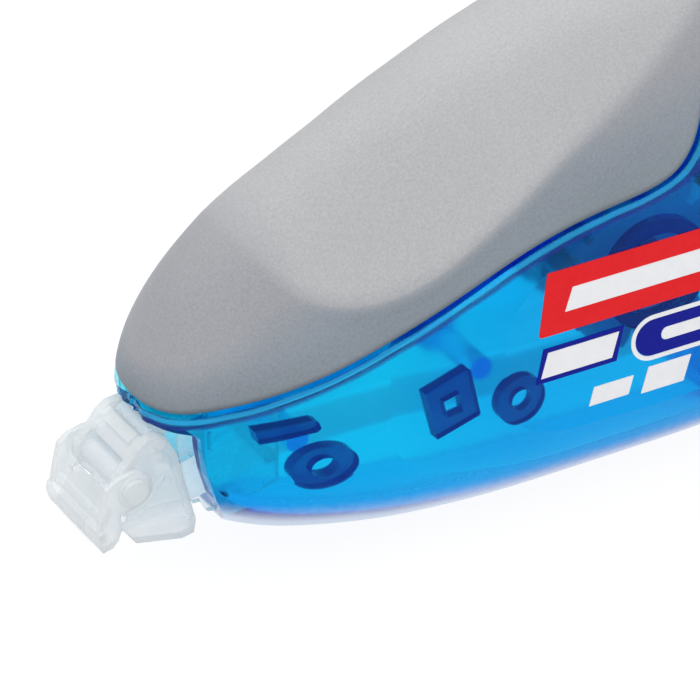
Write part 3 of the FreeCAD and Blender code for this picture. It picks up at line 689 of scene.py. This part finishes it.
# Depth of the dish (x, mm) and how gently it falls from its border (x, mm).
DISH_DEPTH = monotone_curve([(3, 0.0), (6, 0.06), (8, 0.18), (11, 0.42), (15, 0.60),
                             (20, 0.56), (26, 0.40), (32, 0.22), (39, 0.05), (60, 0.0)])
DISH_FALL = monotone_curve([(0, 3.5), (6, 3.0), (9, 2.0), (12, 1.3), (16, 1.4), (26, 2.6),
                            (40, 4.0)])
DISH_DEEPEST = 0.6
GRIP_INNER = -1.10                    # inner face of the grip from the outer form
GRIP_RAISE, GRIP_EDGE_R = 0.30, 0.55  # outer face above the form, rounding of its edge
FRONT_RUN, REAR_RUN = 4.0, 6.0        # lengths at the ends with crowded stations
ROW_POINTS = 92                       # points on a row from edge to crown
LONG_ROW = 4.0                        # rows longer than this use the edge steps as they are
EDGE_STEPS = np.array([0, .03, .07, .12, .18, .25, .33, .42, .52, .64, .78, .95, 1.15, 1.4])


def edge_height(x):
    return np.interp(x, EDGE_LINE[:, 0], EDGE_LINE[:, 1])


def grip_stations():
    """x stations, crowded at both ends; the last is where the edge meets the crown"""
    xs = np.linspace(30, 44, 4001)
    rear = xs[np.argmax(edge_height(xs) > CROWN(xs))]
    turn = math.pi / 2 * np.linspace(0, 1, 44)
    stations = np.r_[
        NOSE_X + FRONT_RUN * (1 - np.cos(turn)),
        np.linspace(NOSE_X + FRONT_RUN, rear - REAR_RUN, 130)[1:],
        rear - REAR_RUN + REAR_RUN * np.sin(turn)[1:]]
    stations[-1] = rear - 1e-4
    return stations


def row_angles(x):
    """section angles at station x from the grip edge up to the crown, crowded at the edge"""
    angles = np.linspace(-math.pi / 2, math.pi / 2, 1441)
    heights = outer_form(x, angles, 0.0)[:, 2]
    above = heights > edge_height(x)
    k = max(np.argmax(above) if above.any() else len(angles) - 1, 1)
    low, high = heights[k - 1], heights[k]
    share = np.clip((edge_height(x) - low) / max(1e-9, high - low), 0, 1)
    start = angles[k - 1] + share * (angles[k] - angles[k - 1])
    kept = np.r_[start, angles[angles > start + 1e-6]]
    if len(kept) < 2:
        kept = np.array([start, math.pi / 2])
    points = outer_form(x, kept, 0.0)
    along = np.r_[0, np.cumsum(np.linalg.norm(np.diff(points, axis=0), axis=1))]
    length = along[-1]
    rest = ROW_POINTS - len(EDGE_STEPS) + 1
    if length > LONG_ROW:
        wanted = np.r_[EDGE_STEPS, np.linspace(EDGE_STEPS[-1], length, rest)[1:]]
    else:
        steps = EDGE_STEPS / LONG_ROW
        wanted = length * np.r_[steps, np.linspace(steps[-1], 1, rest)[1:]]
    return np.interp(wanted, along, kept)


def grip_relief(base):
    """height of the outer grip face over the outer form"""
    x, y, z = base[..., 0], base[..., 1], base[..., 2]
    from_edge = distance_to(EDGE_LINE[::3], x, z)
    from_edge[:, 0] = 0.0
    from_edge = np.where(z < edge_height(x), 0.0, from_edge)
    q = np.clip(from_edge / GRIP_EDGE_R, 0, 1)
    relief = GRIP_RAISE - GRIP_EDGE_R + GRIP_EDGE_R * np.sqrt(np.maximum(0.0, 1 - (1 - q) ** 2))
    # slight swelling some 5 mm above the lower edge
    relief = relief + 0.16 * np.exp(-((from_edge - 5.0) / 3.2) ** 2) * smoothstep((x - 4) / 14)
    # dished top with a low lip along its border, fainter on the middle line near the nose
    from_crease = distance_to(CREASE_LINE, x, z)
    crease_z = np.interp(x, CREASE_LINE[:, 0], CREASE_LINE[:, 1])
    inside = (z > crease_z) & (x > CREASE_LINE[0, 0])
    off_middle = smoothstep((np.abs(y) - 0.3) / 4.2)
    strength = 1 - (1 - off_middle) * (1 - smoothstep((x - 7) / 11)) * 0.85
    dish = DISH_DEPTH(x) * strength * (1 - np.exp(-from_crease / DISH_FALL(x)))
    lip = 0.07 * DISH_DEPTH(x) / DISH_DEEPEST * strength * np.exp(-(from_crease / 1.1) ** 2)
    return relief + np.where(inside, lip * np.exp(-from_crease / 0.4) - dish, lip)


def stitch(first, second):
    """triangles between two runs of points with different counts"""
    faces, a, b = [], 0, 0
    ends = len(first) - 1, len(second) - 1
    while a < ends[0] or b < ends[1]:
        if b >= ends[1] or (a < ends[0] and (a + 1) / ends[0] <= (b + 1) / ends[1]):
            face = (first[a], first[a + 1], second[b])
            a += 1
        else:
            face = (first[a], second[b + 1], second[b])
            b += 1
        if len(set(face)) == 3:
            faces.append(face)
    return faces


def build_grip():
    stations = grip_stations()
    angles = np.array([row_angles(x) for x in stations])
    across = np.repeat(stations[:, None], ROW_POINTS, 1)
    outer = outer_form(across, angles, grip_relief(outer_form(across, angles, 0.0)))
    inner = outer_form(across, angles, GRIP_INNER)
    wall = [outer_form(stations, angles[:, 0], grow)
            for grow in (GRIP_INNER, -0.85, -0.6, -0.42)]
    far = np.concatenate([np.stack(wall, 1), outer], 1)
    mirror = np.array([1, -1, 1])
    # each ring runs near edge, crown, far edge, then back inside
    outside = np.concatenate([far * mirror, far[:, ::-1][:, 1:]], 1)
    inside = np.concatenate([inner, (inner * mirror)[:, ::-1][:, 1:]], 1)
    ring = np.concatenate([outside, inside[:, 1:-1]], 1)
    count, size, turn = len(stations), ring.shape[1], outside.shape[1]
    faces = [(i * size + j, i * size + (j + 1) % size,
              (i + 1) * size + (j + 1) % size, (i + 1) * size + j)
             for i in range(count - 1) for j in range(size)]
    for first in (0, (count - 1) * size):    # end caps
        outer_run = [first + j for j in range(turn)]
        inner_run = [first + size - 1 - j for j in range(size - turn)]
        faces += stitch(outer_run, [first] + inner_run + [first + turn - 1])
    ob = mesh_object("soft_grip_moulded", to_frame(ring.reshape(-1, 3)), faces)
    tidy_mesh(ob, merge=1.5e-6)
    stand_in(ob, "soft_grip", "housing")


build_grip()


# ---------------------------------------------------------------- tip pieces
def circle(centre, radius, count=40):
    angles = [2 * math.pi * i / count for i in range(count)]
    return [(centre[0] + radius * math.cos(a), centre[1] + radius * math.sin(a)) for a in angles]


class Moulding:
    """closed blocks melted into one soft-edged piece; outlines are (x, z) in mm"""

    def __init__(self):
        self.verts, self.faces = [], []

    def add(self, low, high):
        n, k = len(low), len(self.verts)
        self.verts += list(low) + list(high)
        self.faces += [tuple(range(k, k + n)), tuple(range(k + 2 * n - 1, k + n - 1, -1))]
        self.faces += [(k + i, k + n + i, k + n + (i + 1) % n, k + (i + 1) % n)
                       for i in range(n)]

    def pair(self, outline, inner, outer):
        """a block on each side, from y inner to y outer; outer may be a function of z"""
        for side in (1, -1):
            self.add([(x, side * inner, z) for x, z in outline],
                     [(x, side * (outer(z) if callable(outer) else outer), z)
                      for x, z in outline])

    def across(self, outline, half):
        """one block through the middle, half wide to each side"""
        self.add([(x, -half, z) for x, z in outline], [(x, half, z) for x, z in outline])

    def ridges(self, path, width, inner, outer):
        """a raised line on each side"""
        p = np.array(path, float)
        along = np.gradient(p, axis=0)
        along /= np.linalg.norm(along, axis=1)[:, None]
        offset = np.stack([-along[:, 1], along[:, 0]], -1) * width / 2
        left, right = p + offset, p - offset
        for i in range(len(p) - 1):
            corners = (left[i], left[i + 1], right[i + 1], right[i])
            self.pair([tuple(c) for c in corners], inner, outer)

    def melt(self, piece, voxel, smoothing, slot, body="housing"):
        """voxel in mm; smoothing is a number of passes"""
        ob = mesh_object(piece + "_moulded", to_frame(self.verts), self.faces)
        tidy_mesh(ob)
        remesh = ob.modifiers.new("melt", "REMESH")
        remesh.mode = "VOXEL"
        remesh.voxel_size = voxel * MM
        remesh.adaptivity = 0.0
        smooth = ob.modifiers.new("soft", "SMOOTH")
        smooth.factor = 0.6
        smooth.iterations = smoothing
        graph = bpy.context.evaluated_depsgraph_get()
        melted = bpy.data.meshes.new_from_object(ob.evaluated_get(graph))
        ob.modifiers.clear()
        blocks = ob.data
        ob.data = melted
        bpy.data.meshes.remove(blocks)
        shade_smooth(melted)
        stand_in(ob, piece, body)


CHEEK = [
    (-2.15, -0.84), (-3.05, -0.88), (-3.87, -1.47), (-4.63, -2.42), (-5.35, -3.15),
    (-5.9, -4.3), (-5.4, -5.6), (-4.5, -6.6), (-4.64, -7.67), (-5.05, -8.04),
    (-4.2, -9.21), (-0.5, -9.97), (0.47, -9.78), (0.66, -8.64), (-0.1, -5.6),
    (-0.76, -2.69), (-1.61, -1.08)]
# follows the upper front and the rear of the cheek
RIM = CHEEK[:5] + [
    (-5.2, -3.4), (-3.87, -2.25), (-1.84, -2.24), (-1.3, -2.9), (-0.65, -5.7),
    (0.1, -8.5)] + CHEEK[-4:]
FOOT = [(-4.9, -7.65), (-0.37, -8.31), (0.66, -8.64), (0.47, -9.78), (-0.5, -9.97),
        (-4.2, -9.21), (-5.05, -8.04)]


def build_head_bracket():
    part = Moulding()
    part.pair(CHEEK, inner=2.42, outer=2.88)
    part.pair(RIM, inner=2.7, outer=3.3)
    part.pair(FOOT, inner=2.42, outer=3.38)
    part.pair(circle(PIN, 0.68), inner=2.7, outer=3.33)
    part.pair(circle(AXLE, 1.32), inner=2.42, outer=3.3)
    # upper front bridge and a thinner strip over it
    part.across([(-3.0, -1.15), (-3.8, -1.75), (-4.55, -2.65), (-4.2, -3.0), (-3.5, -2.35),
                 (-2.98, -1.9)], half=2.6)
    part.across([(-3.12, -1.02), (-3.22, -1.0), (-3.95, -1.62), (-3.9, -1.9),
                 (-3.2, -1.45)], half=1.95)
    # shoulders at the ends of the bridge
    part.pair([(-3.0, -1.1), (-3.85, -1.6), (-4.6, -2.5), (-4.5, -2.8), (-3.6, -2.2),
               (-2.98, -1.7)], inner=2.1, outer=2.55)
    # two raised lines on each cheek
    part.ridges([(-5.0, -6.85), (-4.2, -6.76), (-3.21, -6.41), (-2.4, -5.6), (-1.96, -4.87),
                 (-1.7, -4.55), (-1.42, -4.62), (-1.2, -5.0)], width=0.17, inner=2.8, outer=3.02)
    part.ridges([(-3.78, -7.2), (-2.9, -6.85), (-1.97, -6.76), (-0.44, -6.9)],
                width=0.14, inner=2.8, outer=2.97)
    part.melt("head_bracket", voxel=0.062, smoothing=4, slot="head")


def build_applicator_blade():
    def flare(z):
        """outer face of the wedge, widening downwards"""
        return 3.92 + 0.30 * float(smoothstep((-6.2 - z) / 2.2))

    part = Moulding()
    wedge = [(-6.75, -3.7), (-5.9, -3.1), (-5.0, -2.9), (-4.4, -5.8), (-5.62, -6.1),
             (-5.65, -7.2), (-6.0, -7.9), (-6.5, -8.4), (-7.3, -8.55), (-7.5, -7.6),
             (-7.4, -6.7), (-7.1, -5.2)]
    part.pair(wedge, inner=3.42, outer=flare)
    part.pair(circle(AXLE, 1.5), inner=3.42, outer=3.9)
    part.pair(circle(AXLE, 1.24), inner=3.42, outer=4.08)
    # blade bar, small strip above it, web and web ends
    part.across([(-7.3, -8.6), (-7.56, -7.75), (-7.5, -7.05), (-7.2, -6.85), (-6.9, -7.0),
                 (-6.55, -7.9), (-6.6, -8.35)], half=4.22)
    part.across([(-7.02, -6.75), (-6.75, -6.2), (-6.5, -6.3), (-6.75, -6.95)], half=3.5)
    part.across([(-7.0, -6.9), (-5.95, -5.05), (-5.68, -5.2), (-6.6, -7.2)], half=2.3)
    part.pair([(-7.0, -6.9), (-6.2, -5.55), (-6.0, -5.85), (-6.6, -7.2)],
              inner=2.2, outer=3.5)
    part.melt("applicator_blade", voxel=0.062, smoothing=3, slot="head", body="applicator")


def build_rod(piece, section, half, voxel, smoothing):
    part = Moulding()
    part.across(section, half)
    part.melt(piece, voxel, smoothing, slot="axle")


def build_tip_holder():
    part = Moulding()
    plate = [(-0.9, -1.55), (-0.75, -0.95), (-0.3, -0.6), (0.35, -0.5), (6.95, -0.5),
             (6.95, -6.8), (3.6, -7.85), (1.9, -8.0), (1.3, -7.95), (0.75, -6.9),
             (0.1, -6.9), (-0.45, -4.6)]
    part.pair(plate, inner=3.36, outer=3.98)
    # top deck with its front lip, the wider deck behind, and the rear cross bar
    part.across([(-2.75, -1.95), (-2.85, -1.15), (-2.35, -0.78), (-1.6, -0.55), (6.95, -0.5),
                 (6.95, -1.25), (-0.9, -1.25), (-1.6, -2.05), (-2.2, -2.15)], half=2.3)
    part.across([(0.3, -1.25), (0.3, -0.5), (6.95, -0.5), (6.95, -1.25)], half=3.6)
    part.across([(6.3, -5.6), (6.3, -4.6), (6.95, -4.6), (6.95, -5.6)], half=3.6)
    part.melt("tip_holder", voxel=0.075, smoothing=3, slot="holder")


build_head_bracket()
build_applicator_blade()
build_rod("cross_axle", circle(AXLE, 0.98, 64), half=4.38, voxel=0.07, smoothing=4)
build_rod("head_pin", circle(PIN, 0.5, 48), half=3.42, voxel=0.05, smoothing=3)
build_tip_holder()


# ---------------------------------------------------------------- tape
def ribbon(name, piece, path, thick, curl, body="housing", count=220):
    """thin band along a side-view path; curl lifts its long edges in mid-run"""
    p = spline(path, count)
    along = np.gradient(p, axis=0)
    along /= np.linalg.norm(along, axis=1)[:, None]
    normal = np.stack([-along[:, 1], along[:, 0]], -1)
    columns = 9
    verts, faces = [], []
    for side in (1, -1):
        for i in range(count):
            for y in np.linspace(-TAPE_HALF, TAPE_HALF, columns):
                lift = curl * (y / TAPE_HALF) ** 2 * math.sin(math.pi * i / (count - 1))
                x, z = p[i] + normal[i] * (lift + side * thick / 2)
                verts.append((x, y, z))
    m, other = columns, count * columns    # other: first point of the second face
    for i in range(count - 1):
        for j in range(m - 1):
            q = i * m + j
            faces.append((q, q + 1, q + m + 1, q + m))
            faces.append((other + q, other + q + m, other + q + m + 1, other + q + 1))
        q = i * m
        faces.append((q, q + m, other + q + m, other + q))
        q = i * m + m - 1
        faces.append((q, other + q, other + q + m, q + m))
    for j in range(m - 1):
        q = (count - 1) * m + j
        faces.append((j, other + j, other + j + 1, j + 1))
        faces.append((q, q + 1, other + q + 1, other + q))
    ob = mesh_object(name, to_frame(verts), faces)
    tidy_mesh(ob, merge=1e-8)
    stand_in(ob, piece, body)


ribbon("tape_feed_ribbon", "tape_feed_run",
       [(SUPPLY[0], SUPPLY[1] - (ROLL_R + 0.09)), (40.0, -6.28), (24.0, -6.12)]
       + arc(GUIDE_FRONT, GUIDE_R, -86, -97, 3) + [(4.0, -7.05), (0.5, -7.9), (-5.2, -8.83)],
       thick=0.06, curl=0.03)
ribbon("tape_tip_leader", "tape_tip_loop",
       [(-5.70, -8.80), (-6.9, -8.79), (-7.25, -8.77), (-7.45, -8.6), (-7.66, -7.8),
        (-7.58, -6.9), (-7.42, -6.66), (-6.7, -5.55), (-5.64, -3.88)],
       thick=0.05, curl=0.0, body="applicator", count=160)
ribbon("film_return_ribbon", "film_return_run",
       arc(AXLE, 1.08, 150, 92, 6) + [(4.0, -2.85), (14.0, -2.45)]
       + arc(GUIDE_REAR, GUIDE_R, 95, 82, 3) + [(TAKE_UP[0] - 0.6, TAKE_UP[1] - 5.8 - 0.38)],
       thick=0.05, curl=0.02)


def build_roll():
    """supply roll with its layers standing slightly uneven on both sides"""
    layers, around, half = 300, 120, 2.08
    radii = np.r_[5.03, np.linspace(5.06, 11.94, layers), ROLL_R]
    random = np.random.default_rng(7)
    drift = 0.022 * random.standard_normal(layers).cumsum() * 0.12
    jitter = 0.018 * random.standard_normal(layers)
    uneven = np.clip(np.r_[0.0, drift + jitter, 0.0], -0.05, 0.05)
    verts, faces = [], []
    for side in (1, -1):
        for radius, lift in zip(radii, uneven):
            for i in range(around):
                a = 2 * math.pi * i / around
                verts.append((SUPPLY[0] + radius * math.cos(a),
                              side * (half + lift * (1 + 0.3 * math.sin(3 * a))),
                              SUPPLY[1] + radius * math.sin(a)))
    rings = len(radii)
    other = rings * around    # first point of the second side
    for i in range(rings):
        for j in range(around):
            a, b = i * around + j, i * around + (j + 1) % around
            if i < rings - 1:
                faces.append((a, b, b + around, a + around))
                faces.append((other + a, other + a + around, other + b + around, other + b))
    for i in (0, rings - 1):    # bore and rim
        for j in range(around):
            a, b = i * around + j, i * around + (j + 1) % around
            faces.append((a, other + a, other + b, b) if i == 0
                         else (a, b, other + b, other + a))
    ob = mesh_object("tape_roll_wound", to_frame(verts), faces)
    tidy_mesh(ob, merge=1e-8)
    stand_in(ob, "supply_tape_roll", "supply_reel")


build_roll()


# ---------------------------------------------------------------- floor, light, camera
def floor_material():
    """bright where seen directly or through the clear plastic, calmer as a bounce source"""
    mat = new_material("floor_pale")
    cloud = mat.noise(scale=3, detail=2, roughness=0.5)
    lit = mat.shader("BsdfDiffuse", Color=mat.two_tone(
        cloud, (0.93, 0.93, 0.935), (0.95, 0.95, 0.955)))
    glow = mat.shader("Emission", Strength=1.04, Color=mat.two_tone(
        cloud, (0.99, 0.99, 0.99), (1.0, 1.0, 1.0)))
    bounce = 0.45    # grey level
    calm = mat.shader("BsdfDiffuse", Color=mat.two_tone(
        cloud, (bounce,) * 3, (bounce + 0.02,) * 3))
    seen = mat.rays("Camera", "Transmission", "Glossy")
    return mat.surface(mat.mix(seen, calm, mat.mix(0.9, lit, glow)))


def build_floor():
    cells, half, level = 24, 1.2, -0.00002    # half size and height in m
    row = cells + 1
    verts = [((i / cells - 0.5) * 2 * half, (j / cells - 0.5) * 2 * half, level)
             for i in range(row) for j in range(row)]
    faces = [(i * row + j, (i + 1) * row + j, (i + 1) * row + j + 1, i * row + j + 1)
             for i in range(cells) for j in range(cells)]
    ob = mesh_object("floor", verts, faces)
    ob.data.materials.append(floor_material())


def build_world():
    """light grows towards the zenith; evenly pale where it is looked at"""
    world = bpy.data.worlds.new("studio")
    scene.world = world
    sky = Graph(world, "OutputWorld")
    up = sky.axes(sky.node("TexCoord").outputs["Generated"])[2]
    strength = sky.node("Mix", Factor=sky.rays("Camera", "Transmission"))
    strength.data_type = "FLOAT"
    sky.feed(strength.inputs[2], sky.map_range(up, (0.0, 0.85), (0.55, 1.12)))
    sky.feed(strength.inputs[3], 0.97)
    sky.surface(sky.shader("Background", Color=(1, 1, 1, 1), Strength=strength.outputs[0]))


def area_light(name, location, size, power):
    """rectangle turned to a point just above the floor"""
    light = bpy.data.lights.new(name, "AREA")
    light.shape = "RECTANGLE"
    light.size, light.size_y = size
    light.energy = power
    ob = bpy.data.objects.new(name, light)
    scene.collection.objects.link(ob)
    ob.location = location
    aim = Vector((0, 0, 0.02)) - Vector(location)
    ob.rotation_euler = aim.to_track_quat("-Z", "Y").to_euler()


def build_camera():
    """long lens from the near side, in front of and above the tip"""
    azimuth, elevation = math.radians(-30), math.asin(0.5195)
    distance = 350.0                            # mm
    mark = Vector((0, -5.4, 0))                 # near side of the mouth corner, mm
    shift_right, shift_up = 10.5633803, 5.7746479    # view centre from the mark, mm
    right = Vector((math.cos(azimuth), math.sin(azimuth), 0))
    up = Vector((-math.sin(azimuth) * math.sin(elevation),
                 math.cos(azimuth) * math.sin(elevation), math.cos(elevation)))
    back = Vector((math.sin(azimuth) * math.cos(elevation),
                   -math.cos(azimuth) * math.cos(elevation), math.sin(elevation)))
    place = mark + back * distance + right * shift_right + up * shift_up
    camera = bpy.data.cameras.new("camera")
    ob = bpy.data.objects.new("camera", camera)
    scene.collection.objects.link(ob)
    camera.sensor_width = 36
    camera.sensor_fit = "HORIZONTAL"
    camera.lens = 255.6
    camera.clip_start, camera.clip_end = 0.01, 10
    pose = Matrix((right, up, back)).transposed().to_4x4()
    pose.translation = Vector((frame_x(place.x), place.y * MM, frame_z(place.z)))
    ob.matrix_world = pose
    scene.camera = ob


def set_render():
    cycles = scene.cycles
    cycles.use_denoising = True
    cycles.max_bounces = 24
    cycles.transmission_bounces = 18
    cycles.transparent_max_bounces = 16
    cycles.diffuse_bounces = 5
    cycles.glossy_bounces = 8
    cycles.volume_bounces = 0
    cycles.sample_clamp_indirect = 6.0
    cycles.blur_glossy = 0.5
    view = scene.view_settings
    view.view_transform = "Standard"
    view.look = "None"
    view.exposure = 0.0
    view.gamma = 1.0


build_floor()
build_world()
area_light("key_top", location=(0.02, 0.10, 0.55), size=(0.5, 0.4), power=0.75)
area_light("fill_front", location=(-0.45, -0.35, 0.25), size=(0.35, 0.35), power=0.26)
build_camera()
set_render()
